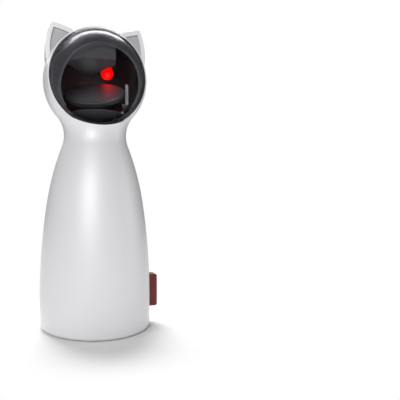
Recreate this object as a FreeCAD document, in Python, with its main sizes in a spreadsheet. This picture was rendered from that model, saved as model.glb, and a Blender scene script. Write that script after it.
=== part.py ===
import FreeCAD, Part
import math
import os
import re
import Sketcher

from FreeCAD import Placement, Rotation, Vector

# Driving dimensions, in millimetres and degrees.
# The origin is the centre of the foot circle, Z goes up, and the dome looks along -Y.
SIZES = {
    # casing
    "base_radius": 37.4,
    "edge_radius": 2.4,
    "base_lift": 0.8,
    "straight_top": 22.0,
    "shoulder_curve": 180.0,
    "neck_radius": 21.3,
    "neck_height": 129.4,
    "neck_flare": 1.69,
    "neck_curve": 21.0,
    "head_radius": 35.4,
    "wall": 2.2,
    "seam_back": 7.0,
    "seam_gap": 0.1,
    # ears
    "ear_reach": 11.7,
    "ear_lean": 50.4,
    "ear_inner_angle": 64.9,
    "ear_outer_angle": 18.1,
    "ear_curve": 42.0,
    "ear_front": 6.0,
    "ear_back": 6.4,
    "ear_tip_thick": 3.4,
    "ear_round": 0.7,
    "ear_inset_depth": 1.6,
    "ear_lining": 0.4,
    "ear_border": 1.9,
    # dome and hood
    "rim_front": 12.4,
    "rim_wall": 0.7,
    "dome_seat": 0.6,
    "ring_depth": 5.0,
    "ring_width": 2.3,
    "dome_bulge": 26.0,
    "dome_wall": 1.4,
    "hood_gap": 0.5,
    "hood_wall": 1.3,
    "hood_pitch": 29.0,
    "hood_reach": 16.05,
    "tub_gap": 0.3,
    "tub_wall": 1.4,
    # mirror
    "mirror_drop": 9.2,
    "mirror_half_length": 12.0,
    "mirror_thick": 1.2,
    "holder_thick": 2.4,
    "holder_border": 1.0,
    "mirror_tilt": 48.0,
    "mirror_turn": -20.0,
    "mirror_swing": 7.0,
    "bowl_gap": 1.8,
    "bowl_wall": 1.8,
    "bowl_drop": 9.0,
    "notch_drop": 4.5,
    "notch_half_width": 20.0,
    "arm_gap": 0.5,
    "arm_thick": 2.0,
    "arm_width": 12.0,
    "arm_head": 5.0,
    "tilt_pin_radius": 1.0,
    "pin_fit": 0.06,
    # laser
    "laser_x": 8.7,
    "laser_y": 1.1,
    "laser_radius": 4.8,
    "laser_length": 9.5,
    "lens_radius": 4.2,
    "lens_lift": 1.5,
    "lens_seat_depth": 1.0,
    "laser_gap": 2.3,
    "laser_wall": 1.4,
    "laser_board_thick": 1.0,
    "bridge_lift": 6.0,
    "bridge_length": 14.0,
    "wedge_tip_x": -4.0,
    "wedge_tip_y": 7.0,
    "wedge_left": 24.0,
    "wedge_right": 9.0,
    "wedge_side": 22.0,
    "wedge_front": 32.0,
    "wedge_front_left": 11.0,
    "wedge_front_right": 7.0,
    # spindle, gears and motor
    "spindle_radius": 1.5,
    "gear_module": 0.5,
    "pinion_teeth": 10,
    "wheel_teeth": 40,
    "gear_thick": 2.4,
    "gear_floor": 98.0,
    "motor_radius": 10.0,
    "motor_length": 25.0,
    "motor_shaft_radius": 1.0,
    "gear_pin_radius": 1.0,
    "frame_thick": 2.0,
    # cells and battery bay
    "cell_radius": 7.25,
    "cell_length": 50.5,
    "cell_gap": 0.7,
    "cell_back": 15.5,
    "cell_floor": 12.0,
    "bay_wall": 1.6,
    "spring_room": 3.6,
    "spring_wire": 0.35,
    "contact_thick": 0.4,
    "door_margin": 1.2,
    "door_gap": 0.3,
    # circuit board and switch
    "board_front": 3.0,
    "board_length": 46.0,
    "switch_room": 9.2,
    "board_height": 40.0,
    "board_thick": 1.6,
    "board_floor": 20.0,
    "knob_height": 22.0,
    "knob_width": 8.0,
    "knob_proud": 6.7,
    "knob_centre": 22.5,
    "knob_wall_gap": 0.35,
    "knob_corner": 2.0,
    "knob_bury": 1.0,
    "knob_travel": 3.0,
    "stem_height": 9.0,
    "stem_width": 4.0,
    "stem_gap": 0.3,
    # base
    "plate_thick": 2.4,
    "plate_gap": 0.2,
    "pad_margin": 9.4,
    "screw_radius": 1.2,
    "screw_head_radius": 2.3,
    "screw_length": 8.0,
    "boss_radius": 3.2,
    "boss_inset": 2.6,
    "boss_height": 6.0,
    "plate_lift": 0.4,
    "screw_head_thick": 1.2,
    "door_screw_inset": 4.4,
    "door_screw_length": 6.0,
    "bush_radius": 3.0,
    "bush_length": 5.0,
    "laser_board_border": 0.9,
    "gear_step": 0.8,
    "tooth_top": 0.85,
    "tooth_root": 1.15,
    "tooth_tip_share": 0.11,
    "tooth_root_share": 0.30,
    "frame_gap": 0.6,
    "motor_angle": 195.0,
    "motor_boss_radius": 3.0,
    "motor_cap_thick": 2.0,
    "cell_nub_radius": 2.75,
    "cell_nub_height": 1.0,
    "spring_radius": 3.4,
    "spacer_radius": 2.0,
    "spacer_margin": 1.0,
    "chip_size": 9.0,
    "chip_thick": 1.6,
    "capacitor_radius": 2.5,
    "capacitor_length": 7.0,
    "switch_width": 7.0,
    "switch_wall_gap": 1.6,
}

os.makedirs("parts", exist_ok=True)
doc = FreeCAD.newDocument("cat_laser_toy")
sheet = doc.addObject("Spreadsheet::Sheet", "Sizes")
for row, (alias, number) in enumerate(SIZES.items(), start=1):
    sheet.set(f"A{row}", alias)
    sheet.set(f"B{row}", str(number))
    sheet.setAlias(f"B{row}", alias)
doc.recompute()

UP = Vector(0, 0, 1)
AXES = {
    "z": Rotation(),
    "-y": Rotation(Vector(1, 0, 0), 90),
    "y": Rotation(Vector(1, 0, 0), -90),
}
NODES = []


# Helpers that read the sheet
def formula(text):
    """The text with each size's name pointing into the sheet."""
    return re.sub(r"[a-z_]+", lambda m: "Sizes." + m.group() if m.group() in SIZES else m.group(), text)


def size(text):
    """The number that a formula of sizes gives."""
    return float(sheet.evalExpression(formula(text)))


def bind(item, **formulas):
    """Ties properties of a document object to formulas of sizes."""
    for name, text in formulas.items():
        item.setExpression(name, formula(text))


def place(item, x="0", y="0", z="0", axis="z"):
    """Puts an object at formulas of sizes, its own Z turned along the axis."""
    item.Placement = Placement(Vector(size(x), size(y), size(z)), AXES[axis])
    for letter, text in zip("xyz", (x, y, z)):
        item.setExpression(".Placement.Base." + letter, formula(text))
    return item


# Helpers that make solids
def cylinder(name, radius, height, x="0", y="0", z="0", axis="z"):
    item = doc.addObject("Part::Cylinder", name)
    bind(item, Radius=radius, Height=height)
    return place(item, x, y, z, axis)


def box(name, length, width, height, x="0", y="0", z="0"):
    """A box that is centred on x and y and stands on z."""
    item = doc.addObject("Part::Box", name)
    bind(item, Length=length, Width=width, Height=height)
    return place(item, f"({x}) - ({length}) / 2", f"({y}) - ({width}) / 2", z)


def ball(name, radius, x="0", y="0", z="0"):
    item = doc.addObject("Part::Sphere", name)
    bind(item, Radius=radius)
    return place(item, x, y, z)


def cut(name, base, *tools):
    item = doc.addObject("Part::Cut", name)
    item.Base = base
    item.Tool = tools[0] if len(tools) == 1 else fuse(name + "_tools", *tools)
    return item


def fuse(name, *shapes):
    item = doc.addObject("Part::MultiFuse", name)
    item.Shapes = list(shapes)
    return item


def common(name, *shapes):
    item = doc.addObject("Part::MultiCommon", name)
    item.Shapes = list(shapes)
    return item


def solid(name, shape):
    """A shape worked out in code, where no sketch or primitive fits it."""
    item = doc.addObject("Part::Feature", name)
    item.Shape = shape
    return item


def group(name, items):
    """Separate solids that share one node."""
    item = doc.addObject("Part::Compound", name)
    item.Links = list(items)
    return item


def node(item, label):
    """Names an object as one sub-part of the toy."""
    item.Label = label
    NODES.append(item)
    return item


def body_plane(body, role):
    return next(f for f in body.Origin.OriginFeatures if f.Role == role)


def new_sketch(body, name, role):
    sketch = body.newObject("Sketcher::SketchObject", name)
    sketch.AttachmentSupport = (body_plane(body, role), [""])
    sketch.MapMode = "FlatFace"
    return sketch


def rule(sketch, kind, edge, to):
    """Adds a constraint to an edge, and ties it to a formula of sizes."""
    index = sketch.addConstraint(Sketcher.Constraint(kind, edge, size(to)))
    sketch.setExpression(f"Constraints[{index}]", formula(to))


# Places that several pieces share
FAR = 60.0
HEAD_HEIGHT = "(neck_height + sqrt((head_radius + neck_curve)^2 - (neck_radius + neck_curve)^2))"
BELLY_LEAN = "(base_radius - neck_radius - neck_flare)"
BELLY_CURVE = f"(({BELLY_LEAN}^2 + (neck_height - straight_top)^2) / (2 * {BELLY_LEAN}))"
BOSS_SIDE = "((base_radius - wall - boss_inset) / sqrt(2))"
CORNERS = [dict(x=f"{sx} * {BOSS_SIDE}", y=f"{sy} * {BOSS_SIDE}") for sx in (-1, 1) for sy in (-1, 1)]
PLATE_FLOOR = "(base_lift + plate_lift)"


def round_edge(start, end, centre):
    """A round edge about a centre, the short way from start to end."""
    middle = (start + end) / 2 - centre
    radius = start.distanceToPoint(centre)
    return Part.Arc(start, centre + middle * (radius / middle.Length), end)


# The casing's outline, as radius and height
def casing_points(inset):
    """Where the arcs of the outline meet, for a skin that lies inset under it."""
    belly = size(BELLY_CURVE) - inset
    shoulder = size("shoulder_curve") - inset
    neck = size("neck_curve") + inset
    head = size("head_radius") - inset
    side = size("base_radius") - inset
    belly_centre = Vector(side - belly, size("straight_top"), 0)
    neck_centre = Vector(size("neck_radius + neck_curve"), size("neck_height"), 0)
    head_centre = Vector(0, size(HEAD_HEIGHT), 0)
    span = neck_centre - belly_centre
    near = belly - shoulder
    along = (span.Length**2 + near**2 - (shoulder + neck) ** 2) / (2 * span.Length)
    ahead = span / span.Length
    beside = Vector(ahead.y, -ahead.x, 0)
    shoulder_centre = belly_centre + ahead * along + beside * math.sqrt(near**2 - along**2)
    if shoulder_centre.y > neck_centre.y:
        shoulder_centre = belly_centre + ahead * along - beside * math.sqrt(near**2 - along**2)
    out = shoulder_centre - belly_centre
    down = neck_centre - shoulder_centre
    cheek = neck_centre - head_centre
    joints = [
        Vector(side, size("straight_top"), 0),
        belly_centre + out * (belly / out.Length),
        shoulder_centre + down * (shoulder / down.Length),
        head_centre + cheek * (head / cheek.Length),
        head_centre + Vector(0, head, 0),
    ]
    return joints, [belly_centre, shoulder_centre, neck_centre, head_centre]


def casing_body(name, inset, floor, corner):
    """A turned solid, bounded by the casing's outline moved in by the inset."""
    body = doc.addObject("PartDesign::Body", name)
    sketch = new_sketch(body, name + "_outline", "XZ_Plane")
    joints, centres = casing_points(size(inset))
    side = joints[0].x
    low = size(floor)
    bend = size(corner)
    foot = Vector(0, low, 0)
    heel = Vector(side, low + bend, 0)
    toe = Vector(side - bend, low, 0)
    edges = [Part.LineSegment(joints[-1], foot), Part.LineSegment(foot, toe)]
    edges.append(round_edge(toe, heel, Vector(side - bend, low + bend, 0)))
    edges.append(Part.LineSegment(heel, joints[0]))
    for start, end, centre in zip(joints, joints[1:], centres):
        edges.append(round_edge(start, end, centre))
    sketch.addGeometry(edges, False)
    curves = [BELLY_CURVE + " - " + inset, "shoulder_curve - " + inset]
    curves += ["neck_curve + " + inset, "head_radius - " + inset]
    heel_arc = 2
    rule(sketch, "Radius", heel_arc, corner)
    for edge, curve in enumerate(curves, start=heel_arc + 2):
        rule(sketch, "Radius", edge, curve)
    turned = body.newObject("PartDesign::Revolution", name + "_turned")
    turned.Profile = sketch
    turned.ReferenceAxis = (sketch, ["V_Axis"])
    turned.Angle = 360
    body.Tip = turned
    return body


casing_outer = casing_body("casing_outer", "0", "base_lift", "edge_radius")
casing_inner = casing_body("casing_inner", "wall", "base_lift - plate_thick", "plate_gap")
casing_fit = casing_body("casing_fit", "(wall + plate_gap)", "base_lift - plate_thick", "plate_gap")
head_ball = ball("head_ball", "head_radius", z=HEAD_HEIGHT)


# Places in the head, along Y from the rim to the dome
RIM_RADIUS = "sqrt(head_radius^2 - rim_front^2)"
BORE_RADIUS = f"({RIM_RADIUS} - rim_wall)"
RING_FRONT = "(rim_front - dome_seat)"
RING_BACK = "(rim_front - ring_depth)"
DOME_EDGE = f"({BORE_RADIUS} - plate_gap / 2)"
DOME_RADIUS = f"(({DOME_EDGE}^2 + dome_bulge^2) / (2 * dome_bulge))"
DOME_FRONT = f"({RING_FRONT} + dome_bulge - {DOME_RADIUS})"
HOOD_RADIUS = f"({DOME_RADIUS} - dome_wall - hood_gap)"
TUB_RADIUS = "(head_radius - wall - tub_gap)"
BOWL_RADIUS = f"({TUB_RADIUS} - tub_wall - bowl_gap)"
MIRROR_HEIGHT = f"({HEAD_HEIGHT} - mirror_drop)"
BOWL_TOP = f"({MIRROR_HEIGHT} - bowl_drop)"
ARM_EDGE = f"sqrt({BOWL_RADIUS}^2 - (mirror_drop + bowl_drop)^2)"
MIRROR_HALF_WIDTH = f"({ARM_EDGE} - arm_thick - arm_gap)"
MIRROR_RISE = "(mirror_half_length * sin(mirror_tilt + mirror_swing) + holder_thick)"
LASER_FLOOR = f"({MIRROR_HEIGHT} + {MIRROR_RISE} + laser_gap)"
LENS_MIDDLE = f"({LASER_FLOOR} + lens_lift)"
BARREL_FOOT = f"({LENS_MIDDLE} + lens_radius - lens_seat_depth)"
LASER_TOP = f"({BARREL_FOOT} + laser_length)"
EAR_LOW = "(head_radius * sin(ear_outer_angle))"
EAR_HIGH = "((head_radius + ear_reach) * sin(ear_lean))"


def front_space(name, front):
    """All the space in front of a plane across Y."""
    return box(name, str(2 * FAR), str(FAR), str(5 * FAR), y=f"-({front}) - {FAR / 2}", z="-10")


def back_space(name, front):
    """All the space behind a plane across Y."""
    return box(name, str(2 * FAR), str(2 * FAR), str(5 * FAR), y=f"{FAR} - ({front})", z="-10")


# Ears
EAR_MITRE = 1.9
EAR_ROOT = 0.42


def ear_outline(side, border):
    """The corners of an ear in the plane across Y, moved in by its border."""
    middle = Vector(0, 0, size(HEAD_HEIGHT))

    def about(radius, angle):
        return middle + Vector(side * size(f"{radius} * cos({angle})"), 0, size(f"{radius} * sin({angle})"))

    tip = about("(head_radius + ear_reach)", "ear_lean")
    inner = about("head_radius", "ear_inner_angle")
    outer = about("head_radius", "ear_outer_angle")
    root = middle + (inner + outer - middle * 2) * EAR_ROOT
    centre = (tip + inner + outer) / 3
    corners = [tip, inner, outer]
    if border:
        reach = border * EAR_MITRE / tip.distanceToPoint(centre)
        corners = [point + (centre - point) * reach for point in corners]
    return corners[0], corners[1], root, corners[2]


def bowed(start, end, away, curve):
    """A shallow arc between two points that bulges away from a third."""
    middle = (start + end) / 2
    half = start.distanceToPoint(end) / 2
    out = (middle - away).cross(end - start).cross(end - start)
    out = out / out.Length
    if out.dot(middle - away) < 0:
        out = out * -1
    return Part.Arc(start, middle + out * (curve - math.sqrt(curve**2 - half**2)), end).toShape()


def ear_block(side, border, front, back):
    """An ear-shaped block between two planes across Y."""
    tip, inner, root, outer = ear_outline(side, border)
    curve = size("ear_curve")
    edges = [
        bowed(tip, inner, root, curve),
        Part.LineSegment(inner, root).toShape(),
        Part.LineSegment(root, outer).toShape(),
        bowed(outer, tip, root, curve),
    ]
    face = Part.Face(Part.Wire(edges))
    face.translate(Vector(0, back, 0))
    return face.extrude(Vector(0, -front - back, 0))


def ear_slope():
    """The space behind an ear, whose back leans forward towards the tip."""
    low = size(EAR_LOW)
    high = size(EAR_HIGH)
    near = Vector(-FAR, size("ear_back"), size(HEAD_HEIGHT) + low)
    far = Vector(-FAR, size("ear_tip_thick - ear_front"), size(HEAD_HEIGHT) + high)
    climb = (far - near) / (high - low)
    corners = [near - climb * FAR, near + climb * FAR]
    corners += [corners[1] + Vector(0, 2 * FAR, 0), corners[0] + Vector(0, 2 * FAR, 0)]
    return Part.Face(Part.makePolygon(corners + corners[:1])).extrude(Vector(2 * FAR, 0, 0))


ears = []
ear_pockets = []
for side, word in ((-1, "left"), (1, "right")):
    front = size("ear_front")
    floor = size("ear_front - ear_inset_depth")
    full_ear = ear_block(side, 0, front, size("ear_back")).cut(ear_slope())
    outside = [edge for edge in full_ear.Edges if edge.CenterOfMass.z > size(f"{HEAD_HEIGHT} + {EAR_LOW}")]
    ears.append(solid(word + "_ear", full_ear.makeFillet(size("ear_round"), outside)))
    pocket = solid(word + "_ear_pocket", ear_block(side, size("ear_border"), 2 * front, -floor))
    ear_pockets.append(cut(word + "_pocket_outside", pocket, head_ball))
    lining = ear_block(side, size("ear_border + plate_gap"), floor + size("ear_lining"), -floor)
    node(cut(word + "_ear_inset", solid(word + "_lining", lining), head_ball), word + "_ear_inset")


# Casing shells
bosses = []
boss_holes = []
for spot in CORNERS:
    bosses.append(cylinder("boss", "boss_radius", "boss_height", z=PLATE_FLOOR + " + plate_thick", **spot))
    boss_holes.append(cylinder("boss_hole", "screw_radius", str(FAR), z="0", **spot))
whole = fuse("casing_whole", casing_outer, *ears)
skin = cut("casing_skin", whole, casing_inner)
bosses_in = common("bosses_inside", fuse("bosses_all", *bosses), casing_outer)
bossed = cut("casing_bossed", fuse("casing_with_bosses", skin, bosses_in), *boss_holes)
window = cylinder("window", BORE_RADIUS, str(FAR), y=f"-{RING_BACK}", z=HEAD_HEIGHT, axis="-y")
window_front = cylinder("window_front", RIM_RADIUS, str(FAR), y="-rim_front", z=HEAD_HEIGHT, axis="-y")
slot = box("knob_slot", "knob_proud * 3", "stem_width + 2 * stem_gap",
           "stem_height + 2 * knob_travel + 2 * stem_gap", x="base_radius",
           z="knob_centre - stem_height / 2 - knob_travel - stem_gap")
DOOR_WIDE = "(6 * cell_radius + 2 * cell_gap - door_margin)"
DOOR_TALL = "(cell_length + spring_room - door_margin)"
DOOR_FLOOR = "(cell_floor + door_margin / 2)"
opening = box("door_opening", DOOR_WIDE, "base_radius", DOOR_TALL, y="base_radius", z=DOOR_FLOOR)
front_part = front_space("front_space", "-seam_back")
back_part = back_space("back_space", "-seam_back - seam_gap")
front_half = common("front_half", bossed, front_part)
node(cut("front_shell", front_half, window, window_front, slot, *ear_pockets), "front_shell")
rear_half = common("rear_half", bossed, back_part)
node(cut("rear_shell", rear_half, opening), "rear_shell")

# Battery door, cut from the same turned skin
panel = box("door_panel", f"{DOOR_WIDE} - 2 * door_gap", "base_radius", f"{DOOR_TALL} - 2 * door_gap",
            y="base_radius", z=f"{DOOR_FLOOR} + door_gap")
door_skin = common("door_skin", skin, panel)
DOOR_SCREW_SEAT = "(base_radius - door_screw_inset)"
DOOR_SCREW_HEIGHT = f"({DOOR_FLOOR} + {DOOR_TALL} - 3 * screw_head_radius)"
door_hole = cylinder("door_screw_hole", "screw_radius + pin_fit", str(FAR), z=DOOR_SCREW_HEIGHT, axis="y")
door_sink = cylinder("door_screw_sink", "screw_head_radius + pin_fit", str(FAR),
                     y=DOOR_SCREW_SEAT, z=DOOR_SCREW_HEIGHT, axis="y")
node(cut("battery_door", door_skin, door_hole, door_sink), "battery_door")
door_screw_head = cylinder("door_screw_head", "screw_head_radius", "screw_head_radius / 2",
                           y=DOOR_SCREW_SEAT, z=DOOR_SCREW_HEIGHT, axis="y")
door_screw_stem = cylinder("door_screw_stem", "screw_radius", "door_screw_length",
                           y=DOOR_SCREW_SEAT, z=DOOR_SCREW_HEIGHT, axis="-y")
node(fuse("door_screw", door_screw_head, door_screw_stem), "door_screw")


# Head: ring, dome, hood and tub
def turned_y(name, outer, inner, front, back):
    """A plain ring about the head's middle line, between two planes across Y."""
    full = cylinder(name + "_full", outer, f"{front} - {back}", y=f"-{back}", z=HEAD_HEIGHT, axis="-y")
    bore = cylinder(name + "_bore", inner, str(FAR), z=HEAD_HEIGHT, axis="-y")
    return cut(name, full, bore)


node(turned_y("head_ring", BORE_RADIUS, f"{BORE_RADIUS} - ring_width", RING_FRONT, RING_BACK), "head_ring")


def ball_skin(name, radius, thick, front):
    outer = ball(name + "_outside", radius, y=f"-{front}", z=HEAD_HEIGHT)
    inner = ball(name + "_inside", f"{radius} - {thick}", y=f"-{front}", z=HEAD_HEIGHT)
    return cut(name + "_skin", outer, inner)


dome_skin = ball_skin("dome", DOME_RADIUS, "dome_wall", DOME_FRONT)
node(common("dome", dome_skin, front_space("before_ring", RING_FRONT)), "smoked_dome")

hood_skin = ball_skin("hood", HOOD_RADIUS, "hood_wall", DOME_FRONT)
hood_front = common("hood_front", hood_skin, front_space("before_ring_too", RING_FRONT))
pitch = math.radians(size("hood_pitch"))
look = Vector(0, -math.cos(pitch), -math.sin(pitch))
mouth = doc.addObject("Part::Cylinder", "hood_mouth")
bind(mouth, Radius=str(FAR), Height=str(FAR))
mouth_middle = Vector(0, -size(DOME_FRONT), size(HEAD_HEIGHT)) + look * size("hood_reach")
mouth.Placement = Placement(mouth_middle, Rotation(UP, look))
node(cut("hood", hood_front, mouth), "inner_hood")

tub_skin = ball_skin("tub", TUB_RADIUS, "tub_wall", "0")
tub_back = common("tub_back", tub_skin, back_space("behind_ring", RING_BACK))
bush_hole = cylinder("bush_hole", "bush_radius", str(FAR), z=f"{HEAD_HEIGHT} - {FAR}")
node(cut("tub", tub_back, bush_hole), "head_tub")

# Laser under the hood
def wedge_block():
    """The five-sided block that hangs under the hood with its tip to the back."""
    corners = [
        ("wedge_tip_x", "wedge_tip_y"),
        ("-wedge_left", "-wedge_side"),
        ("-wedge_front_left", "-wedge_front"),
        ("wedge_front_right", "-wedge_front"),
        ("wedge_right", "-wedge_side"),
    ]
    points = [Vector(size(x), size(y), size(LASER_FLOOR)) for x, y in corners]
    return Part.Face(Part.makePolygon(points + points[:1])).extrude(UP * size("head_radius"))


laser_spot = dict(x="laser_x", y="laser_y")
socket = cylinder("laser_socket", "laser_radius + laser_wall", str(FAR),
                  z=f"{BARREL_FOOT} + laser_board_thick", **laser_spot)
bridge = box("laser_bridge", "bridge_length", "2 * laser_radius", str(FAR), x="laser_x - bridge_length / 2",
             y="laser_y - laser_radius", z=f"{LASER_FLOOR} + bridge_lift")
hood_space = ball("hood_space", f"{HOOD_RADIUS} - hood_wall", y=f"-{DOME_FRONT}", z=HEAD_HEIGHT)
laser_mass = fuse("laser_mass", solid("laser_wedge", wedge_block()), socket, bridge)
laser_bore = cylinder("laser_bore", "laser_radius", str(FAR), z=LASER_FLOOR, **laser_spot)
BOARD_RADIUS = "(laser_radius + laser_board_border)"
laser_room = cylinder("laser_room", BOARD_RADIUS + " + plate_gap", str(FAR), z=LASER_TOP, **laser_spot)
laser_block = common("laser_block", laser_mass, hood_space)
node(cut("laser_housing", laser_block, laser_bore, laser_room), "laser_housing")
barrel = cylinder("laser_barrel", "laser_radius", "laser_length", z=BARREL_FOOT, **laser_spot)
lens_seat = ball("lens_seat", "lens_radius", z=LENS_MIDDLE, **laser_spot)
node(cut("laser_module", barrel, lens_seat), "laser_module")
node(ball("laser_lens", "lens_radius", z=LENS_MIDDLE, **laser_spot), "laser_lens")
node(cylinder("laser_board", BOARD_RADIUS, "laser_board_thick", z=LASER_TOP, **laser_spot), "laser_board")


# Mirror on its tilt pins
def tilted(item):
    """Turns a piece that lies flat about the pins to the mirror's place at rest."""
    turn = Rotation(UP, size("mirror_turn")) * Rotation(Vector(1, 0, 0), size("mirror_tilt"))
    middle = Vector(0, 0, size(MIRROR_HEIGHT))
    item.Placement = Placement(middle, turn) * item.Placement
    return item


def oval(name, half_width, half_length, thick, floor):
    outline = Part.Ellipse(Vector(0, 0, size(floor)), size(half_width), size(half_length))
    face = Part.Face(Part.Wire(outline.toShape()))
    return solid(name, face.extrude(UP * size(thick)))


PIN_SPAN = f"(2 * {ARM_EDGE})"
plate = oval("mirror_plate", MIRROR_HALF_WIDTH, "mirror_half_length", "holder_thick", "-holder_thick / 2")
pins = solid("mirror_pins", Part.makeCylinder(
    size("tilt_pin_radius"), size(PIN_SPAN), Vector(-size(PIN_SPAN) / 2, 0, 0), Vector(1, 0, 0)))
holder = solid("mirror_holder", plate.Shape.fuse(pins.Shape).removeSplitter())
node(tilted(holder), "mirror_holder")
glass = oval("mirror_glass", MIRROR_HALF_WIDTH + " - holder_border", "mirror_half_length - holder_border",
             "mirror_thick", "holder_thick / 2")
node(tilted(glass), "mirror_glass")
for used in (plate, pins):
    doc.removeObject(used.Name)

# Turning bowl that carries the mirror between two arms
bowl_skin = ball_skin("bowl", BOWL_RADIUS, "bowl_wall", "0")
bowl_low = box("below_bowl_top", str(2 * FAR), str(2 * FAR), str(FAR), z=f"{BOWL_TOP} - {FAR}")
bowl_cup = common("bowl_cup", bowl_skin, bowl_low)
arm_boxes = []
for side in (-1, 1):
    arm = Part.makeBox(size("arm_thick"), size("arm_width"), size("bowl_drop + arm_head + 2 * bowl_wall"))
    start = size(ARM_EDGE + " - arm_thick") if side > 0 else -size(ARM_EDGE)
    arm.translate(Vector(start, -size("arm_width") / 2, size(BOWL_TOP + " - 2 * bowl_wall")))
    arm_boxes.append(arm)
pin_holes = Part.makeCylinder(size("tilt_pin_radius + pin_fit"), 2 * FAR,
                              Vector(-FAR, 0, size(MIRROR_HEIGHT)), Vector(1, 0, 0))
arms = solid("arms", arm_boxes[0].fuse(arm_boxes[1]).cut(pin_holes))
arms.Placement = Placement(Vector(), Rotation(UP, size("mirror_turn")))
bowl_ball = ball("bowl_ball", BOWL_RADIUS, z=HEAD_HEIGHT)
hub_hole = cylinder("hub_hole", "spindle_radius", str(FAR), z=f"{HEAD_HEIGHT} - {FAR}")
hub_full = cylinder("hub_full", "2 * spindle_radius", "3 * bowl_wall",
                    z=f"{HEAD_HEIGHT} - {BOWL_RADIUS} + bowl_wall / 2")
bowl_mass = fuse("bowl_with_arms", bowl_cup, common("arms_trimmed", arms, bowl_ball), hub_full)
notch = doc.addObject("Part::Box", "bowl_notch")
bind(notch, Length="2 * notch_half_width", Width=str(FAR), Height=str(FAR))
notch_turn = Rotation(UP, size("mirror_turn"))
notch_corner = Vector(-size("notch_half_width"), -FAR, size(BOWL_TOP + " - notch_drop"))
notch.Placement = Placement(notch_turn.multVec(notch_corner), notch_turn)
node(cut("mirror_bowl", bowl_mass, hub_hole, notch), "mirror_bowl")
SPINDLE_TOP = f"({HEAD_HEIGHT} - {BOWL_RADIUS} + 3 * bowl_wall)"
SPINDLE_FOOT = "(gear_floor - frame_gap - frame_thick)"
node(cylinder("spindle", "spindle_radius", f"{SPINDLE_TOP} - {SPINDLE_FOOT}", z=SPINDLE_FOOT), "spindle")
bush_full = cylinder("bush_full", "bush_radius", "bush_length",
                     z=f"{HEAD_HEIGHT} - {TUB_RADIUS} + tub_wall - bush_length")
bush_bore = cylinder("bush_bore", "spindle_radius + pin_fit", str(FAR), z=f"{HEAD_HEIGHT} - {FAR}")
node(cut("spindle_bush", bush_full, bush_bore), "spindle_bush")


# Gears
def toothed(teeth, thick, first, hole):
    """A toothed disc with straight-sided teeth, the first one at an angle in degrees."""
    module = size("gear_module")
    pitch_radius = module * teeth / 2
    step = 2 * math.pi / teeth
    tip = pitch_radius + size("tooth_top") * module
    root = pitch_radius - size("tooth_root") * module
    near = size("tooth_tip_share")
    wide = size("tooth_root_share")
    points = []
    for tooth in range(teeth):
        middle = math.radians(first) + tooth * step
        for share, radius in ((-wide, root), (-near, tip), (near, tip), (wide, root)):
            angle = middle + share * step
            points.append(Vector(radius * math.cos(angle), radius * math.sin(angle), 0))
    disc = Part.Face(Part.makePolygon(points + points[:1])).extrude(UP * thick)
    return disc.cut(Part.makeCylinder(hole, thick)) if hole else disc


PINION = int(size("pinion_teeth"))
WHEEL = int(size("wheel_teeth"))
AXLE_GAP = size("gear_module") * (PINION + WHEEL) / 2
THICK = size("gear_thick")
LOW = size("gear_floor")
HIGH = LOW + THICK + size("gear_step")
MOTOR_ANGLE = size("motor_angle")
idler_middle = Vector(0, AXLE_GAP, 0)
motor_away = Vector(math.cos(math.radians(MOTOR_ANGLE)), math.sin(math.radians(MOTOR_ANGLE)), 0)
motor_middle = idler_middle + motor_away * AXLE_GAP


def gear_node(label, shape, middle):
    item = solid(label, shape)
    item.Placement = Placement(middle, Rotation())
    return node(item, label)


gear_node("spindle_gear", toothed(WHEEL, THICK, 90, size("spindle_radius")), Vector(0, 0, LOW))
small = toothed(PINION, HIGH - LOW + THICK / 2, 270 + 180 / PINION, 0)
large = toothed(WHEEL, THICK, MOTOR_ANGLE, 0)
large.translate(UP * (HIGH - LOW))
idler = small.fuse(large).cut(Part.makeCylinder(size("gear_pin_radius + pin_fit"), FAR))
gear_node("idler_gear", idler, idler_middle + UP * LOW)
pinion = toothed(PINION, THICK, MOTOR_ANGLE + 180 + 180 / PINION, size("motor_shaft_radius"))
gear_node("motor_pinion", pinion, motor_middle + UP * HIGH)

# Gear plates, which fit the casing all round
LID_FLOOR = "(gear_floor + 2 * gear_thick + gear_step + frame_gap)"


def gear_plate(name, floor, holes):
    slab = box(name + "_slab", str(2 * FAR), str(2 * FAR), "frame_thick", z=floor)
    plug = common(name + "_plug", slab, casing_fit)
    return node(cut(name, plug, *holes), name)


def upright(name, radius, middle, floor, height):
    """An upright pin or hole at a place that the gears give."""
    item = doc.addObject("Part::Cylinder", name)
    bind(item, Radius=radius, Height=height)
    item.Placement = Placement(Vector(middle.x, middle.y, size(floor)), Rotation())
    item.setExpression(".Placement.Base.z", formula(floor))
    return item


FRAME_FLOOR = "(gear_floor - frame_gap - frame_thick)"
gear_plate("gear_frame", FRAME_FLOOR, [
    upright("frame_spindle_hole", "spindle_radius + pin_fit", Vector(), "0", str(4 * FAR)),
    upright("frame_pin_hole", "gear_pin_radius", idler_middle, "0", str(4 * FAR)),
    upright("frame_motor_hole", "motor_boss_radius + pin_fit", motor_middle, "0", str(4 * FAR)),
])
gear_plate("gear_lid", LID_FLOOR, [
    upright("lid_spindle_hole", "spindle_radius + pin_fit", Vector(), "0", str(4 * FAR)),
    upright("lid_pin_hole", "gear_pin_radius", idler_middle, "0", str(4 * FAR)),
])
PIN_TALL = f"{LID_FLOOR} + frame_thick - {FRAME_FLOOR}"
node(upright("gear_pin", "gear_pin_radius", idler_middle, FRAME_FLOOR, PIN_TALL), "gear_pin")
can = upright("motor_can", "motor_radius", motor_middle, f"{FRAME_FLOOR} - motor_length", "motor_length")
boss_top = upright("motor_boss", "motor_boss_radius", motor_middle, FRAME_FLOOR, "frame_thick")
shaft_bore = upright("motor_bore", "motor_shaft_radius + pin_fit", motor_middle,
                     f"{FRAME_FLOOR} - motor_length / 2", str(FAR))
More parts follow.
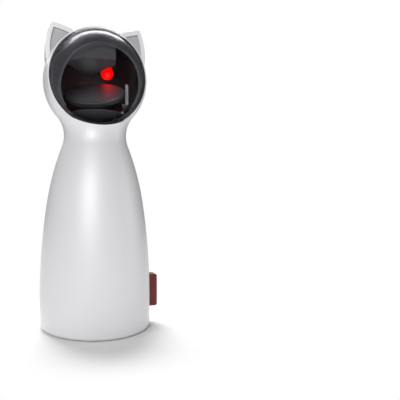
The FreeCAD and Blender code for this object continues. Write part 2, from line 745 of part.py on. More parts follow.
node(cut("drive_motor", fuse("motor_solid", can, boss_top), shaft_bore), "drive_motor")
SHAFT_FOOT = f"({FRAME_FLOOR} - motor_length / 2 + pin_fit)"
SHAFT_TALL = f"gear_floor + 2 * gear_thick + gear_step - {SHAFT_FOOT}"
node(upright("motor_shaft", "motor_shaft_radius", motor_middle, SHAFT_FOOT, SHAFT_TALL), "motor_shaft")
node(upright("motor_end_cap", "motor_radius - wall / 2", motor_middle,
             f"{FRAME_FLOOR} - motor_length - motor_cap_thick", "motor_cap_thick"), "motor_end_cap")

# Battery bay
CELL_STEP = "(2 * cell_radius + cell_gap)"
BAY_WIDE = "(6 * cell_radius + 3 * cell_gap)"
BAY_TALL = "(cell_length + spring_room + 2 * contact_thick)"
BAY_FRONT = "(cell_back - cell_radius - cell_gap / 2)"
tray_full = box("tray_full", f"{BAY_WIDE} + 2 * bay_wall", "base_radius", f"{BAY_TALL} + 2 * bay_wall",
                y=f"{BAY_FRONT} - bay_wall + base_radius / 2", z="cell_floor - contact_thick - bay_wall")
tray_room = box("tray_room", BAY_WIDE, "base_radius", BAY_TALL, y=f"{BAY_FRONT} + base_radius / 2",
                z="cell_floor - contact_thick")
tray_fit = common("tray_fit", tray_full, casing_fit)
tray_back = box("tray_back", str(2 * FAR), "base_radius", str(2 * FAR),
                y="cell_back + cell_radius + base_radius / 2")
node(cut("battery_tray", tray_fit, tray_room, tray_back), "battery_tray")
cells = []
springs = []
for spot in (-1, 0, 1):
    where = dict(x=f"{spot} * {CELL_STEP}", y="cell_back")
    foot = "cell_floor + spring_room"
    can = cylinder("cell_can", "cell_radius", "cell_length - cell_nub_height", z=foot, **where)
    nub = cylinder("cell_nub", "cell_nub_radius", "cell_length", z=foot, **where)
    cells.append(fuse("cell", can, nub))
    coil = cylinder("spring_outside", "spring_radius", "spring_room", z="cell_floor", **where)
    core = cylinder("spring_inside", "spring_radius - 2 * spring_wire", "spring_room", z="cell_floor", **where)
    springs.append(cut("cell_spring", coil, core))
node(group("battery_cells", cells), "battery_cells")
node(group("battery_springs", springs), "battery_springs")
contacts = []
for floor in ("cell_floor - contact_thick", "cell_floor + spring_room + cell_length"):
    contacts.append(box("contact", BAY_WIDE, "2 * cell_radius", "contact_thick", y="cell_back", z=floor))
node(group("contact_plates", contacts), "contact_plates")

# Circuit board on its spacers, and the parts on it
BOARD_RIGHT = "(base_radius - wall - switch_room)"
BOARD_LEFT = f"({BOARD_RIGHT} - board_length)"
node(box("circuit_board", "board_length", "board_thick", "board_height",
         x=f"{BOARD_RIGHT} - board_length / 2", y="board_front + board_thick / 2", z="board_floor"),
     "circuit_board")
SPACER_LONG = f"({BAY_FRONT} - bay_wall - board_front - board_thick)"
spacers = []
for sx in (-1, 1):
    for up in ("spacer_radius + spacer_margin", "board_height - spacer_radius - spacer_margin"):
        aside = f"{sx} * ({BOARD_RIGHT} - 4 * spacer_radius)"
        spacers.append(cylinder("spacer", "spacer_radius", SPACER_LONG, x=aside,
                                y="board_front + board_thick", z=f"board_floor + {up}", axis="y"))
node(group("board_spacers", spacers), "board_spacers")
node(box("control_chip", "chip_size", "chip_thick", "chip_size", y="board_front - chip_thick / 2",
         z="board_floor + board_height / 2"), "control_chip")
node(cylinder("capacitor", "capacitor_radius", "capacitor_length", x=f"{BOARD_LEFT} + 2 * capacitor_radius",
              y="board_front", z="board_floor + board_height / 4", axis="-y"), "capacitor")
node(box("driver_chip", "chip_size / 2", "chip_thick", "chip_size", x=f"{BOARD_RIGHT} / 2",
         y="board_front - chip_thick / 2", z="board_floor + board_height / 4"), "driver_chip")

# Slide switch and its red knob
SWITCH_SPOT = f"({BOARD_RIGHT} + board_thick)"
SWITCH_TALL = "(stem_height + 2 * knob_travel + 2 * stem_gap)"
node(box("switch_board", "board_thick", "switch_width + 2 * board_thick + stem_width",
         f"{SWITCH_TALL} + 2 * board_thick", x=f"{BOARD_RIGHT} + board_thick / 2",
         z=f"knob_centre - {SWITCH_TALL} / 2 - board_thick"), "switch_board")
SWITCH_DEEP = f"(base_radius - wall - switch_wall_gap - {SWITCH_SPOT})"
switch_block = box("switch_block", SWITCH_DEEP, "switch_width", SWITCH_TALL,
                   x=f"{SWITCH_SPOT} + {SWITCH_DEEP} / 2", z=f"knob_centre - {SWITCH_TALL} / 2")
switch_slot = box("switch_slot", SWITCH_DEEP, "stem_width + 2 * stem_gap", f"{SWITCH_TALL} - 2 * stem_gap",
                  x=f"{SWITCH_SPOT} + {SWITCH_DEEP}", z=f"knob_centre - {SWITCH_TALL} / 2 + stem_gap")
node(cut("switch_body", switch_block, switch_slot), "switch_body")
KNOB_DEEP = "(knob_proud - knob_wall_gap)"
knob_block = box("knob_block", KNOB_DEEP, "knob_width", "knob_height",
                 x=f"base_radius + knob_wall_gap + {KNOB_DEEP} / 2", z="knob_centre - knob_height / 2")
doc.recompute()
outer_x = size("base_radius + knob_proud")
edges = enumerate(knob_block.Shape.Edges, start=1)
outside = [index for index, edge in edges if edge.CenterOfMass.x > outer_x - size("pin_fit")]
knob_round = doc.addObject("Part::Fillet", "knob_round")
knob_round.Base = knob_block
knob_round.Edges = [(index, size("knob_corner"), size("knob_corner")) for index in outside]
STEM_FOOT = f"({SWITCH_SPOT} + {SWITCH_DEEP} / 2 + stem_gap)"
STEM_TOP = "(base_radius + knob_wall_gap + knob_bury)"
stem = box("knob_stem", f"{STEM_TOP} - {STEM_FOOT}", "stem_width", "stem_height",
           x=f"({STEM_FOOT} + {STEM_TOP}) / 2", z="knob_centre - stem_height / 2")
node(fuse("power_knob", knob_round, stem), "power_knob")

# Base plate, its screws and the rubber pad under it
plate_disc = cylinder("plate_disc", "base_radius - wall - plate_gap", "plate_thick", z=PLATE_FLOOR)
plate_cuts = []
screws = []
for spot in CORNERS:
    plate_cuts.append(cylinder("plate_hole", "screw_radius", str(FAR), z="0", **spot))
    plate_cuts.append(cylinder("plate_sink", "screw_head_radius + pin_fit", "plate_lift + screw_head_thick",
                               z="base_lift", **spot))
    head = cylinder("screw_head", "screw_head_radius", "screw_head_thick", z=PLATE_FLOOR, **spot)
    shank = cylinder("screw_shank", "screw_radius", "screw_length", z=PLATE_FLOOR, **spot)
    screws.append(fuse("screw", head, shank))
node(cut("base_plate", plate_disc, *plate_cuts), "base_plate")
node(group("base_screws", screws), "base_screws")
node(cylinder("rubber_pad", "base_radius - pad_margin", PLATE_FLOOR), "rubber_pad")

# Check every object, then write the sub-parts
doc.recompute()
for item in doc.Objects:
    if "Invalid" in item.State or "Error" in item.State:
        raise RuntimeError(f"{item.Label} failed: {item.State}")
for item in NODES:
    if item.Shape.isNull() or not item.Shape.isValid() or not item.Shape.Solids:
        raise RuntimeError(f"{item.Label} has no valid shape")
    item.Shape.exportStep(f"parts/{item.Label}.step")
    print(item.Label, len(item.Shape.Solids), round(item.Shape.Volume, 1))
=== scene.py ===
import math

import bmesh
import bpy
from mathutils import Matrix, Vector


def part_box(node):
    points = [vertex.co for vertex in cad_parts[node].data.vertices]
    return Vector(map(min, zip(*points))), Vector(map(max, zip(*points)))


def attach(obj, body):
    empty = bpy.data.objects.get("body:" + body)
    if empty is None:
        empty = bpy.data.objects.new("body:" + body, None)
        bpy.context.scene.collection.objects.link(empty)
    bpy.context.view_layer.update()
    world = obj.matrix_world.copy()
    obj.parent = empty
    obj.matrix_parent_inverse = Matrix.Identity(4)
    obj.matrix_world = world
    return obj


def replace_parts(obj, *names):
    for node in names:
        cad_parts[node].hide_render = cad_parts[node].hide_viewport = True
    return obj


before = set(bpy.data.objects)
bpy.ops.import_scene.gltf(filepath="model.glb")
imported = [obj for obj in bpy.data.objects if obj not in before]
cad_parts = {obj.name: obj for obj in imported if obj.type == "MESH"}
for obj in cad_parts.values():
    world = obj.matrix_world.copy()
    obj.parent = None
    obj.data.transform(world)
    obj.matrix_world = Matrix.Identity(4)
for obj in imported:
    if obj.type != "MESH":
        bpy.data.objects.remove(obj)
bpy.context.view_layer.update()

# Real sizes are in millimetres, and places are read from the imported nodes
MM = 0.001


def middle(name):
    """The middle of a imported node's box."""
    low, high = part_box(name)
    return (low + high) / 2


HEAD_HEIGHT = middle("head_ring").z
RING_LOW, RING_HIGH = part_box("head_ring")
RING_RADIUS = (RING_HIGH.x - RING_LOW.x) / 2
RING_FRONT = RING_LOW.y


# Materials
def linear(code):
    """A colour as sRGB hex, turned to the linear values that a shader takes."""
    parts = [int(code[i:i + 2], 16) / 255 for i in (0, 2, 4)]
    return [p / 12.92 if p <= 0.04045 else ((p + 0.055) / 1.055) ** 2.4 for p in parts] + [1.0]


def add(tree, kind, settings=None, inputs=None, links=None):
    """Adds a node with its settings, input values and links from other nodes' outputs."""
    item = tree.nodes.new(kind)
    for name, value in (settings or {}).items():
        setattr(item, name, value)
    for name, value in (inputs or {}).items():
        item.inputs[name].default_value = value
    for name, (source, output) in (links or {}).items():
        tree.links.new(source.outputs[output], item.inputs[name])
    return item


def plain(name):
    """A new material with its tree, its Principled shader and Object coordinates."""
    material = bpy.data.materials.new(name)
    material.use_nodes = True
    tree = material.node_tree
    shader = tree.nodes["Principled BSDF"]
    return material, tree, shader, add(tree, "ShaderNodeTexCoord")


def moulded(name, tint, dark, roughness, spread, grain_mm, bump, coat=0.0, coat_roughness=0.06):
    """Moulded plastic: a faint cloud of colour, and a fine grain in gloss and bump."""
    material, tree, shader, where = plain(name)
    cloud = add(tree, "ShaderNodeTexNoise", inputs={"Scale": 1 / (45 * MM), "Detail": 2.0},
                links={"Vector": (where, "Object")})
    colour = add(tree, "ShaderNodeMix", {"data_type": "RGBA"})
    colour.inputs["A"].default_value = linear(dark)
    colour.inputs["B"].default_value = linear(tint)
    tree.links.new(cloud.outputs["Fac"], colour.inputs["Factor"])
    tree.links.new(colour.outputs["Result"], shader.inputs["Base Color"])
    grain = add(tree, "ShaderNodeTexNoise", inputs={"Scale": 1 / (grain_mm * MM), "Detail": 3.0},
                links={"Vector": (where, "Object")})
    gloss = add(tree, "ShaderNodeMapRange", inputs={"To Min": roughness, "To Max": roughness + spread},
                links={"Value": (grain, "Fac")})
    tree.links.new(gloss.outputs["Result"], shader.inputs["Roughness"])
    lift = add(tree, "ShaderNodeBump", inputs={"Strength": bump, "Distance": 0.05 * MM},
               links={"Height": (grain, "Fac")})
    tree.links.new(lift.outputs["Normal"], shader.inputs["Normal"])
    shader.inputs["IOR"].default_value = 1.53
    shader.inputs["Coat Weight"].default_value = coat
    shader.inputs["Coat Roughness"].default_value = coat_roughness
    return material


def metal(name, tint, roughness, line_mm):
    """Bare metal with fine turned or rolled lines."""
    material, tree, shader, where = plain(name)
    stretch = add(tree, "ShaderNodeMapping", inputs={"Scale": (1.0, 1.0, 8.0)},
                  links={"Vector": (where, "Object")})
    lines = add(tree, "ShaderNodeTexNoise", inputs={"Scale": 1 / (line_mm * MM), "Detail": 2.0},
                links={"Vector": (stretch, "Vector")})
    gloss = add(tree, "ShaderNodeMapRange", inputs={"To Min": roughness, "To Max": roughness + 0.15},
                links={"Value": (lines, "Fac")})
    tree.links.new(gloss.outputs["Result"], shader.inputs["Roughness"])
    shader.inputs["Base Color"].default_value = linear(tint)
    shader.inputs["Metallic"].default_value = 1.0
    return material


def smoked_polycarbonate():
    """Polished smoked polycarbonate: a faint grey film to look through, glossier towards its edge."""
    material, tree, shader, where = plain("smoked_polycarbonate_polished")
    film = add(tree, "ShaderNodeBsdfTransparent", inputs={"Color": linear("f2f2f4")})
    shader.inputs["Base Color"].default_value = linear("050506")
    shader.inputs["Roughness"].default_value = 0.03
    shader.inputs["IOR"].default_value = 1.58
    facing = add(tree, "ShaderNodeLayerWeight", inputs={"Blend": 0.5})
    steep = add(tree, "ShaderNodeMath", {"operation": "POWER"}, {1: 4.0}, {0: (facing, "Facing")})
    gloss = add(tree, "ShaderNodeMapRange", inputs={"To Min": 0.045, "To Max": 0.11},
                links={"Value": (steep, 0)})
    side = add(tree, "ShaderNodeNewGeometry")
    outer = add(tree, "ShaderNodeMath", {"operation": "SUBTRACT"}, {0: 1.0}, {1: (side, "Backfacing")})
    edge = add(tree, "ShaderNodeMath", {"operation": "MULTIPLY"},
               links={0: (gloss, "Result"), 1: (outer, 0)})
    both = add(tree, "ShaderNodeMixShader")
    tree.links.new(edge.outputs[0], both.inputs[0])
    tree.links.new(film.outputs["BSDF"], both.inputs[1])
    tree.links.new(shader.outputs["BSDF"], both.inputs[2])
    tree.links.new(both.outputs["Shader"], tree.nodes["Material Output"].inputs["Surface"])
    return material


def glowing(name, tint, strength):
    """A lit lens: a saturated red that gives its own light."""
    material, tree, shader, where = plain(name)
    shader.inputs["Base Color"].default_value = linear(tint)
    shader.inputs["Roughness"].default_value = 0.2
    shader.inputs["Emission Color"].default_value = linear(tint)
    shader.inputs["Emission Strength"].default_value = strength
    return material


# Gloss white ABS: a bright skin with a soft wide shine
SHELL = moulded("white_abs_gloss_moulded", "d9d9db", "d4d4d6", 0.40, 0.05, 1.2, 0.02, coat=1.0,
                coat_roughness=0.40)
# Satin grey ABS: a dull shade that sets the ears' hollows off
EAR_GREY = moulded("grey_abs_satin_moulded", "acacae", "a0a0a2", 0.42, 0.08, 0.8, 0.05)
# Black ABS behind the dome, painted dark grey: the lift from black to grey is painted sheen that stands in
# for the light the gloss catches through the nearly clear dome, with broad soft lights on its curves
GLOSS_BLACK = moulded("black_abs_gloss_moulded", "505052", "464648", 0.40, 0.06, 1.0, 0.02, coat=0.3)
# Matt black ABS: the dark that shows beside the gloss parts
DARK = moulded("black_abs_matt_moulded", "0a0a0b", "060607", 0.6, 0.1, 0.8, 0.1)
# Satin red ABS: a deep red knob
RED = moulded("red_abs_satin_moulded", "6e0409", "5a0307", 0.42, 0.08, 0.6, 0.08)
# Natural acetal: a warm white with a waxy look on the gears
ACETAL = moulded("white_acetal_moulded", "e6e4dc", "dad8cf", 0.45, 0.08, 0.7, 0.04)
# Shrunk film: a smooth blue-grey sleeve on each cell
SLEEVE = moulded("cell_sleeve_shrunk_film", "35506a", "2c445b", 0.28, 0.05, 2.0, 0.02)
# Solder mask: green with a slight sheen over the copper
BOARD = moulded("board_solder_mask", "14603a", "0f5231", 0.35, 0.08, 0.5, 0.05)
# Moulded epoxy: a dull dark grey on the chips
EPOXY = moulded("chip_epoxy_moulded", "232326", "1b1b1d", 0.55, 0.1, 0.3, 0.1)
# Rubber: a soft black that takes almost no shine
RUBBER = moulded("black_rubber_moulded", "232325", "1a1a1c", 0.75, 0.12, 0.5, 0.3)
# Soft vinyl: plain wire covers in two colours
WIRE_RED = moulded("red_vinyl_extruded", "9a1714", "84100e", 0.4, 0.05, 1.0, 0.02)
WIRE_BLACK = moulded("black_vinyl_extruded", "1c1c1e", "151517", 0.4, 0.05, 1.0, 0.02)
# Smoked polycarbonate: a clear gloss over the dark head
DOME = smoked_polycarbonate()
# Rolled steel: bright grey with fine lines
STEEL = metal("steel_bright_rolled", "c6c8ca", 0.28, 0.6)
# Turned brass: a warm yellow metal
BRASS = metal("brass_turned", "c39a4f", 0.25, 0.4)
# Silvered glass: a hazy mirror that spreads the red of the lens
SILVERED = metal("mirror_glass_silvered", "b4b6ba", 0.45, 3.0)
# Lit lens: the one bright red spot in the dark head
LIT = glowing("laser_lens_lit", "ff0000", 1.6)

FINISHES = (
    (SHELL, ("front_shell", "rear_shell", "battery_door", "base_plate")),
    (EAR_GREY, ("left_ear_inset", "right_ear_inset")),
    (GLOSS_BLACK, ("head_ring", "inner_hood", "head_tub", "laser_housing", "mirror_holder", "mirror_bowl")),
    (DOME, ("smoked_dome",)),
    (RED, ("power_knob",)),
    (LIT, ("laser_lens",)),
    (DARK, ("gear_frame", "gear_lid", "battery_tray", "switch_body", "motor_end_cap")),
    (EPOXY, ("control_chip", "driver_chip", "capacitor")),
    (ACETAL, ("spindle_gear", "idler_gear", "board_spacers")),
    (SLEEVE, ("battery_cells",)),
    (BOARD, ("laser_board", "circuit_board", "switch_board")),
    (RUBBER, ("rubber_pad",)),
    (STEEL, ("door_screw", "spindle", "gear_pin", "drive_motor", "motor_shaft", "battery_springs",
             "contact_plates", "base_screws")),
    (BRASS, ("laser_module", "spindle_bush", "motor_pinion")),
    (SILVERED, ("mirror_glass",)),
)
for finish, names in FINISHES:
    for name in names:
        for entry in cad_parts[name].material_slots:
            entry.material = finish


# Pieces
def keep(name, mesh, finish, body):
    """Names a finished mesh, gives it its finish and slot, and fixes it to its body."""
    item = bpy.data.objects.new(name, mesh)
    item.data.materials.clear()
    item.data.materials.append(finish)
    bpy.context.scene.collection.objects.link(item)
    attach(item, body)
    return item


def finished(build, smooth=True):
    """A mesh from a bmesh, with its faces turned outward."""
    bmesh.ops.recalc_face_normals(build, faces=build.faces)
    mesh = bpy.data.meshes.new("mesh")
    build.to_mesh(mesh)
    build.free()
    for face in mesh.polygons:
        face.use_smooth = smooth
    return mesh


def tube(points, radius, sides=12, closed=False):
    """A round tube swept along points, with flat ends where it is open."""
    build = bmesh.new()
    count = len(points)
    rings = []
    across = None
    for index, point in enumerate(points):
        ahead = points[(index + 1) % count] if closed or index + 1 < count else point
        back = points[index - 1] if closed or index else point
        along = (ahead - back).normalized()
        if across is None:
            across = along.orthogonal().normalized()
        across = (across - along * across.dot(along)).normalized()
        beside = along.cross(across)
        ring = []
        for step in range(sides):
            angle = 2 * math.pi * step / sides
            outward = across * math.cos(angle) + beside * math.sin(angle)
            ring.append(build.verts.new(point + outward * radius))
        rings.append(ring)
    pairs = list(zip(rings, rings[1:])) + ([(rings[-1], rings[0])] if closed else [])
    for low, high in pairs:
        for step in range(sides):
            after = (step + 1) % sides
            build.faces.new((low[step], low[after], high[after], high[step]))
    if not closed:
        build.faces.new(rings[0])
        build.faces.new(rings[-1])
    return finished(build)


def soft_block(size, middle_point, bevel, turn=None):
    """A block with rounded edges, as a bmesh."""
    build = bmesh.new()
    bmesh.ops.create_cube(build, size=1.0)
    bmesh.ops.scale(build, vec=size, verts=build.verts)
    bmesh.ops.bevel(build, geom=build.edges[:], offset=bevel, segments=3, profile=0.5, affect="EDGES")
    if turn is not None:
        bmesh.ops.transform(build, matrix=turn, verts=build.verts)
    bmesh.ops.translate(build, vec=middle_point, verts=build.verts)
    return build


def joined(builds):
    """One bmesh that holds the geometry of several."""
    whole = bmesh.new()
    for build in builds:
        part = bpy.data.meshes.new("part")
        build.to_mesh(part)
        build.free()
        whole.from_mesh(part)
        bpy.data.meshes.remove(part)
    return whole


# Rim line: a thin bead round the dome's seat, that catches a grey line of light
BEAD_RADIUS = RING_RADIUS - 2.1 * MM
BEAD_RISE = 0.35 * MM
BEAD_THICK = 0.32 * MM
BEAD_STEPS = 160
bead_points = []
for step in range(BEAD_STEPS):
    angle = 2 * math.pi * step / BEAD_STEPS
    bead_points.append(Vector((BEAD_RADIUS * math.cos(angle), RING_FRONT - BEAD_RISE,
                               HEAD_HEIGHT + BEAD_RADIUS * math.sin(angle))))
keep("dome_seat_bead", tube(bead_points, BEAD_THICK, closed=True), GLOSS_BLACK, "casing")

# Snap tabs: small hooks that hold the dome, dark against the ring
TAB_ANGLES = (112, 152, 238, 292, 322)
TAB_SIZE = (1.6 * MM, 0.9 * MM, 3.4 * MM)
TAB_INSET = 2.6 * MM
TAB_RISE = 0.5 * MM
TAB_BEVEL = 0.25 * MM
tabs = []
for angle in TAB_ANGLES:
    turn = math.radians(angle)
    spot = Vector((math.cos(turn), 0, math.sin(turn))) * (RING_RADIUS - TAB_INSET)
    spot += Vector((0, RING_FRONT - TAB_RISE, HEAD_HEIGHT))
    tabs.append(soft_block(TAB_SIZE, spot, TAB_BEVEL, Matrix.Rotation(-turn, 4, "Y")))
keep("dome_snap_tabs", finished(joined(tabs)), DARK, "casing")

# Hood lip: a rolled edge round the hood's mouth
MOUTH_PITCH = math.radians(29)
RISE = Vector((0, -math.sin(MOUTH_PITCH), math.cos(MOUTH_PITCH)))
LIP_MIDDLE = Vector((0, -18.7 * MM, HEAD_HEIGHT - 7.8 * MM))
LIP_RADIUS = 26.6 * MM
LIP_THICK = 0.45 * MM
LIP_START = -32
LIP_SWEEP = 244
LIP_POINTS = 120
lip_points = []
for step in range(LIP_POINTS):
    angle = math.radians(LIP_START + LIP_SWEEP * step / (LIP_POINTS - 1))
    point = LIP_MIDDLE + (Vector((math.cos(angle), 0, 0)) + RISE * math.sin(angle)) * LIP_RADIUS
    lip_points.append(point)
keep("hood_lip", tube(lip_points, LIP_THICK), GLOSS_BLACK, "casing")


# Knob grip: ribs across the outer face, laid out by geometry nodes
def rib_row(name, rib, count, step):
    """Copies one rib along Z with a geometry node group, and returns the real mesh."""
    tree = bpy.data.node_groups.new(name, "GeometryNodeTree")
    sockets = (
        ("Rib", "INPUT", "NodeSocketGeometry"),
        ("Count", "INPUT", "NodeSocketInt"),
        ("Step", "INPUT", "NodeSocketFloat"),
        ("Finish", "INPUT", "NodeSocketMaterial"),
        ("Row", "OUTPUT", "NodeSocketGeometry"),
    )
    for label, kind, sort in sockets:
        tree.interface.new_socket(label, in_out=kind, socket_type=sort)
    given = tree.nodes.new("NodeGroupInput")
    out = tree.nodes.new("NodeGroupOutput")
    lift = add(tree, "ShaderNodeCombineXYZ", links={"Z": (given, "Step")})
    line = add(tree, "GeometryNodeMeshLine", links={"Count": (given, "Count"), "Offset": (lift, "Vector")})
    copies = add(tree, "GeometryNodeInstanceOnPoints",
                 links={"Points": (line, "Mesh"), "Instance": (given, "Rib")})
    real = add(tree, "GeometryNodeRealizeInstances", links={"Geometry": (copies, "Instances")})
    painted = add(tree, "GeometryNodeSetMaterial",
                  links={"Geometry": (real, "Geometry"), "Material": (given, "Finish")})
    tree.links.new(painted.outputs["Geometry"], out.inputs["Row"])
    holder = bpy.data.objects.new(name + "_maker", rib)
    bpy.context.scene.collection.objects.link(holder)
    modifier = holder.modifiers.new(name, "NODES")
    modifier.node_group = tree
    values = {"Count": count, "Step": step, "Finish": RED}
    for entry in tree.interface.items_tree:
        if entry.name in values:
            modifier[entry.identifier] = values[entry.name]
    bpy.context.view_layer.update()
    graph = bpy.context.evaluated_depsgraph_get()
    mesh = bpy.data.meshes.new_from_object(holder.evaluated_get(graph))
    holder.modifiers.remove(modifier)
    bpy.data.objects.remove(holder)
    return mesh


KNOB_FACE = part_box("power_knob")[1].x
RIB_STEP = 2.2 * MM
RIB_COUNT = 7
RIB_SIZE = (0.46 * MM, 5.2 * MM, 0.9 * MM)
RIB_SINK = 0.24 * MM
RIB_BEVEL = 0.15 * MM
rib_foot = middle("power_knob").z - RIB_STEP * (RIB_COUNT - 1) / 2
rib_mesh = finished(soft_block(RIB_SIZE, Vector((KNOB_FACE - RIB_SINK, 0, rib_foot)), RIB_BEVEL))
keep("knob_grip_ribs", rib_row("rib_row", rib_mesh, RIB_COUNT, RIB_STEP), RED, "switch_slider")


# Screws with a cross recess
def cross_screw(head, outward, head_radius, head_tall, stem_radius, stem_long):
    """A turned screw with a cross cut in its head, which faces the way of outward."""
    build = bmesh.new()
    bmesh.ops.create_cone(build, cap_ends=True, segments=40, radius1=head_radius, radius2=head_radius * 0.86,
                          depth=head_tall, matrix=Matrix.Translation((0, 0, head_tall / 2)))
    bmesh.ops.create_cone(build, cap_ends=True, segments=28, radius1=stem_radius * 0.6, radius2=stem_radius,
                          depth=stem_long, matrix=Matrix.Translation((0, 0, -stem_long / 2)))
    body = bpy.data.objects.new("screw_blank", finished(build, smooth=False))
    arms = []
    for turn in (0, math.pi / 2):
        arms.append(soft_block((head_radius * 1.2, head_radius * 0.28, head_tall), Vector((0, 0, head_tall)),
                               0.03 * MM, Matrix.Rotation(turn, 4, "Z")))
    cutters = []
    for index, arm in enumerate(arms):
        cutter = bpy.data.objects.new(f"screw_cutter_{index}", finished(arm, smooth=False))
        cutters.append(cutter)
    for item in [body] + cutters:
        bpy.context.scene.collection.objects.link(item)
    for cutter in cutters:
        bite = body.modifiers.new("bite", "BOOLEAN")
        bite.operation = "DIFFERENCE"
        bite.object = cutter
        bite.solver = "EXACT"
    bpy.context.view_layer.update()
    mesh = bpy.data.meshes.new_from_object(body.evaluated_get(bpy.context.evaluated_depsgraph_get()))
    for item in [body] + cutters:
        bpy.data.objects.remove(item)
    mesh.transform(Matrix.Translation(head) @ outward.to_track_quat("Z", "Y").to_matrix().to_4x4())
    return mesh


SCREW_HEAD = 2.28 * MM
SCREW_STEM = 1.18 * MM
DOOR_HEAD_TALL = 1.13 * MM
DOOR_STEM_LONG = 5.9 * MM
DOOR_SEAT_DEPTH = 1.15 * MM
DOOR_OUT = Vector((0, 1, 0))
door_seat = Vector((0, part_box("door_screw")[1].y - DOOR_SEAT_DEPTH, middle("door_screw").z))
door_mesh = cross_screw(door_seat, DOOR_OUT, SCREW_HEAD, DOOR_HEAD_TALL, SCREW_STEM, DOOR_STEM_LONG)
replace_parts(keep("door_screw_cross", door_mesh, STEEL, "battery_hatch"), "door_screw")

# The base screws stand head down, two by two
BASE_HEAD_TALL = 1.18 * MM
BASE_STEM_LONG = 6.7 * MM
BASE_SEAT_DEPTH = 1.2 * MM
BASE_OUT = Vector((0, 0, -1))
BASE_LOW, BASE_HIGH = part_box("base_screws")
SCREW_SIDE = BASE_HIGH.x - 2.3 * MM
screws = bmesh.new()
for side in (-1, 1):
    for end in (-1, 1):
        seat = Vector((side * SCREW_SIDE, end * SCREW_SIDE, BASE_LOW.z + BASE_SEAT_DEPTH))
        screws.from_mesh(cross_screw(seat, BASE_OUT, SCREW_HEAD, BASE_HEAD_TALL, SCREW_STEM, BASE_STEM_LONG))
base_mesh = finished(screws, smooth=False)
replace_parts(keep("base_screws_cross", base_mesh, STEEL, "casing"), "base_screws")

# Coil springs under the cells
SPRING_LOW, SPRING_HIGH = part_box("battery_springs")
SPRING_RADIUS = 3.05 * MM
SPRING_WIRE = 0.34 * MM
SPRING_SIDES = 10
TURNS = 4
STEPS_A_TURN = 28
SPRING_STEPS = TURNS * STEPS_A_TURN
CELL_STEP = (SPRING_HIGH.x - SPRING_LOW.x - 2 * (SPRING_RADIUS + SPRING_WIRE)) / 2
coils = bmesh.new()
for spot in (-1, 0, 1):
    centre = Vector((spot * CELL_STEP, middle("battery_springs").y, SPRING_LOW.z + SPRING_WIRE))
    points = []
    for step in range(SPRING_STEPS + 1):
        angle = 2 * math.pi * step / STEPS_A_TURN
        rise = (SPRING_HIGH.z - SPRING_LOW.z - 2 * SPRING_WIRE) * step / SPRING_STEPS
        around = Vector((math.cos(angle), math.sin(angle), 0)) * SPRING_RADIUS
        points.append(centre + around + Vector((0, 0, rise)))
    coils.from_mesh(tube(points, SPRING_WIRE, sides=SPRING_SIDES))
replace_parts(keep("coil_springs", finished(coils), STEEL, "casing"), "battery_springs")


# Wires that join the motor to the board
def smooth_path(corners, per_span=8):
    """Points on a smooth curve through the corners."""
    points = []
    for index in range(len(corners) - 1):
        before = corners[max(index - 1, 0)]
        start, end = corners[index], corners[index + 1]
        after = corners[min(index + 2, len(corners) - 1)]
        for step in range(per_span):
            t = step / per_span
            square = 2 * before - 5 * start + 4 * end - after
            cube = 3 * start - before - 3 * end + after
            points.append(0.5 * (2 * start + (end - before) * t + square * t**2 + cube * t**3))
    return points + [corners[-1]]


CAP = middle("motor_end_cap")
CAP_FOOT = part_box("motor_end_cap")[0].z
BOARD_LOW, BOARD_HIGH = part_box("circuit_board")
WIRE_APART = 3 * MM
WIRE_RADIUS = 0.5 * MM
for side, finish, word in ((-1, WIRE_RED, "red"), (1, WIRE_BLACK, "black")):
    start = Vector((CAP.x + side * WIRE_APART, CAP.y - 3 * MM, CAP_FOOT))
    corners = [
        start,
        start + Vector((0, 0, -4 * MM)),
        Vector((start.x, BOARD_LOW.y - 4 * MM, BOARD_HIGH.z + 3 * MM)),
        Vector((start.x, BOARD_LOW.y - 3 * MM, BOARD_HIGH.z - 2 * MM)),
        Vector((start.x, BOARD_LOW.y, BOARD_HIGH.z - 4 * MM)),
    ]
    keep(f"motor_wire_{word}", tube(smooth_path(corners), WIRE_RADIUS), finish, "casing")

# Resistors on the board, in rows and columns
RESISTOR_SIZE = (2.0 * MM, 0.7 * MM, 1.2 * MM)
RESISTOR_BEVEL = 0.1 * MM
RESISTOR_COLUMNS = 3
RESISTOR_ROWS = 3
COLUMN_START = 9 * MM
COLUMN_STEP = 4.5 * MM
ROW_START = 5 * MM
ROW_STEP = 3 * MM
chips = []
for row in range(RESISTOR_ROWS):
    for column in range(RESISTOR_COLUMNS):
        spot = Vector((BOARD_HIGH.x - COLUMN_START - COLUMN_STEP * column,
                       BOARD_LOW.y - RESISTOR_SIZE[1] / 2,
                       BOARD_HIGH.z - ROW_START - ROW_STEP * row))
        chips.append(soft_block(RESISTOR_SIZE, spot, RESISTOR_BEVEL))
keep("board_resistors", finished(joined(chips), smooth=False), EPOXY, "casing")

# Legs along both sides of each chip
LEG_SIZE = (1.1 * MM, 0.24 * MM, 0.4 * MM)
LEG_BEVEL = 0.05 * MM
LEG_STEP = 1.3 * MM
LEG_FIRST = 0.7
LEG_LIFT = 0.25 * MM
legs = []
for chip in ("control_chip", "driver_chip"):
    low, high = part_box(chip)
    count = int((high.z - low.z) / LEG_STEP)
    for index in range(count):
        for side, edge in ((-1, low.x), (1, high.x)):
            spot = Vector((edge + side * LEG_SIZE[0] / 2, high.y - LEG_LIFT,
                           low.z + (index + LEG_FIRST) * LEG_STEP))
            legs.append(soft_block(LEG_SIZE, spot, LEG_BEVEL))
keep("chip_legs", finished(joined(legs), smooth=False), STEEL, "casing")


# Stage: a floor that fades to the white backdrop away from the toy
FLOOR_REACH = 1.6
FADE_START = 45 * MM
FADE_END = 90 * MM


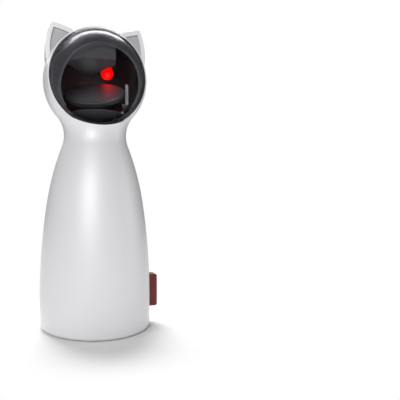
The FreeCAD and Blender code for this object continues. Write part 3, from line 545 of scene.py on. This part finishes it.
def make_floor():
    """A matt paper floor that takes the toy's shadow and turns white round it."""
    reach = FLOOR_REACH
    mesh = bpy.data.meshes.new("floor")
    corners = [(-reach, -reach, 0), (reach, -reach, 0), (reach, reach, 0), (-reach, reach, 0)]
    mesh.from_pydata(corners, [], [(0, 1, 2, 3)])
    floor = bpy.data.objects.new("floor", mesh)
    bpy.context.scene.collection.objects.link(floor)
    material, tree, shader, where = plain("floor_paper_matt")
    shader.inputs["Base Color"].default_value = linear("fcfcfc")
    shader.inputs["Roughness"].default_value = 0.9
    shader.inputs["Specular IOR Level"].default_value = 0.0
    far = add(tree, "ShaderNodeVectorMath", {"operation": "LENGTH"}, links={0: (where, "Object")})
    fade = add(tree, "ShaderNodeMapRange", {"interpolation_type": "SMOOTHSTEP"},
               {"From Min": FADE_START, "From Max": FADE_END}, {"Value": (far, "Value")})
    white = add(tree, "ShaderNodeEmission", inputs={"Color": linear("ffffff"), "Strength": 1.0})
    both = add(tree, "ShaderNodeMixShader", links={0: (fade, "Result"), 2: (white, "Emission")})
    tree.links.new(shader.outputs["BSDF"], both.inputs[1])
    tree.links.new(both.outputs["Shader"], tree.nodes["Material Output"].inputs["Surface"])
    mesh.materials.append(material)


make_floor()


# Light
def soft_box(name, place, aim, wide, tall, power):
    """A plain rectangular softbox that faces a point."""
    data = bpy.data.lights.new(name, "AREA")
    data.shape = "RECTANGLE"
    data.size = wide
    data.size_y = tall
    data.energy = power
    lamp = bpy.data.objects.new(name, data)
    lamp.location = place
    lamp.rotation_euler = (Vector(aim) - Vector(place)).to_track_quat("-Z", "Y").to_euler()
    bpy.context.scene.collection.objects.link(lamp)


# The main light, high at the front left, makes the broad highlight on the body
soft_box("front_strip", place=(-0.40, -0.90, 0.50), aim=(0, 0, 0.15), wide=0.60, tall=0.50, power=7.4)
# A weak one beside it
soft_box("front_box", place=(-0.26, -1.0, 0.55), aim=(0, 0, 0.12), wide=0.55, tall=0.5, power=0.5)
# From behind and above, for the floor and the top of the head
soft_box("back_box", place=(0.0, 0.45, 0.60), aim=(0, 0, 0.02), wide=0.6, tall=0.4, power=7.5)
# From the right, to lift the shaded side
soft_box("right_strip", place=(0.80, -0.18, 0.26), aim=(0, 0, 0.16), wide=0.26, tall=0.5, power=0.7)

# World: white to look at, and a faint light on the toy
SKY_LIGHT = 0.08
SKY_SEEN = 1.0
world = bpy.data.worlds.new("studio")
world.use_nodes = True
bpy.context.scene.world = world
sky = world.node_tree
glow = sky.nodes["Background"]
glow.inputs["Color"].default_value = linear("ffffff")
path = add(sky, "ShaderNodeLightPath")
eye = add(sky, "ShaderNodeMath", {"operation": "MAXIMUM"},
          links={0: (path, "Is Camera Ray"), 1: (path, "Is Transmission Ray")})
level = add(sky, "ShaderNodeMapRange", inputs={"To Min": SKY_LIGHT, "To Max": SKY_SEEN},
            links={"Value": (eye, 0)})
sky.links.new(level.outputs["Result"], glow.inputs["Strength"])


# Camera: level, a little under the toy's mid height, and shifted so that the toy stands at the left
CAMERA_TURN = math.radians(13.8)
CAMERA_PLACE = Vector((-51.2, -274.7, 85.6)) * MM
FOCAL_PX = 405.0
FRAME_PX = 400.0
MIDDLE_PX = 118.0
SENSOR_MM = 36.0
lens_data = bpy.data.cameras.new("camera")
lens_data.sensor_width = SENSOR_MM
lens_data.lens = SENSOR_MM * FOCAL_PX / FRAME_PX
lens_data.shift_x = (FRAME_PX / 2 - MIDDLE_PX) / FRAME_PX
camera = bpy.data.objects.new("camera", lens_data)
camera.location = CAMERA_PLACE
camera.rotation_euler = (math.radians(90), 0, -CAMERA_TURN)
bpy.context.scene.collection.objects.link(camera)
bpy.context.scene.camera = camera
bpy.context.scene.view_settings.view_transform = "Standard"
